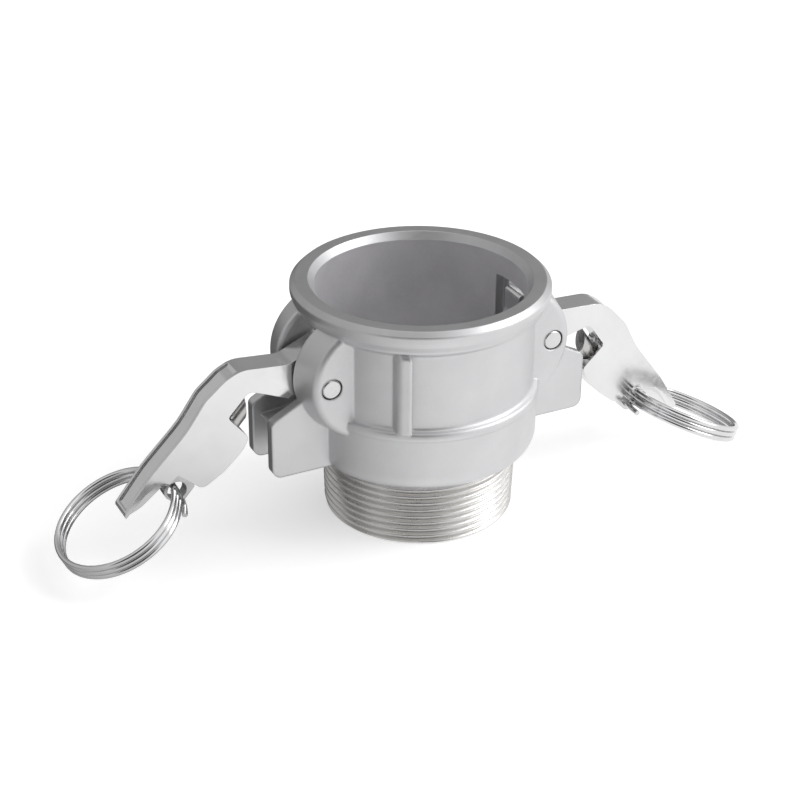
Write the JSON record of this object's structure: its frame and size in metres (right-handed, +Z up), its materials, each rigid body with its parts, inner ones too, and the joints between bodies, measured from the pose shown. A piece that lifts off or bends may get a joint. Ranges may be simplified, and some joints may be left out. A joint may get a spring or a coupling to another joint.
{
  "type": "cam lock hose coupling",
  "caption": "Quick coupling with a socket closed by spring-locked cam arms with pull rings, and a tapered male pipe thread end",
  "frame": {"origin": "on the coupling's axis in the plane of the thread end's face, where it screws on to the pipe and where it stands", "axes": "+Z runs up the axis out of the socket mouth; X runs through both cam arms, left arm at -X; Y runs along the pivot pins"},
  "size_m": [0.2281, 0.0784, 0.0761],
  "materials": {
    "body": "bead-blasted cast stainless steel",
    "gasket": "matt",
    "pin": "smooth drawn",
    "arm": "tumble-polished cast stainless steel",
    "plunger": "turned",
    "spring": "drawn wire",
    "eye": "turned",
    "ring": "bright drawn wire"
  },
  "bodies": {
    "coupler": {"body": "body", "gasket": "gasket", "pivot_pin_left": "pin", "pivot_pin_right": "pin"},
    "arm_left": {"cam_arm_left": "arm", "plunger_spring_left": "spring"},
    "arm_right": {"cam_arm_right": "arm", "plunger_spring_right": "spring"},
    "plunger_left": {"lock_plunger_left": "plunger", "pull_eye_left": "eye"},
    "plunger_right": {"lock_plunger_right": "plunger", "pull_eye_right": "eye"},
    "ring_left": {"pull_ring_left": "ring"},
    "ring_right": {"pull_ring_right": "ring"}
  },
  "joints": [
    {"name": "arm_left_swing", "type": "hinge", "parent": "coupler", "child": "arm_left", "pos_m": [-0.037, 0, 0.05415], "axis": [0, 1, 0], "range_deg": [-42, 58]},
    {"name": "arm_right_swing", "type": "hinge", "parent": "coupler", "child": "arm_right", "pos_m": [0.037, 0, 0.05415], "axis": [0, -1, 0], "range_deg": [-34.4, 65.6]},
    {"name": "plunger_left_pull", "type": "slide", "parent": "arm_left", "child": "plunger_left", "axis": [-0.6691, 0, -0.7431], "range_m": [0, 0.005], "stiffness_N_per_m": 400, "springref_m": -0.004, "deforming": ["plunger_spring_left"]},
    {"name": "plunger_right_pull", "type": "slide", "parent": "arm_right", "child": "plunger_right", "axis": [0.565, 0, -0.8251], "range_m": [0, 0.005], "stiffness_N_per_m": 400, "springref_m": -0.004, "deforming": ["plunger_spring_right"]},
    {"name": "ring_left_swing", "type": "hinge", "parent": "plunger_left", "child": "ring_left", "pos_m": [-0.08058, 0, 0.02368], "axis": [0, 1, 0], "range_deg": [-55, 50]},
    {"name": "ring_right_swing", "type": "hinge", "parent": "plunger_right", "child": "ring_right", "pos_m": [0.07617, -0.0007, 0.01819], "axis": [0, -1, 0], "range_deg": [-55, 50]}
  ]
}
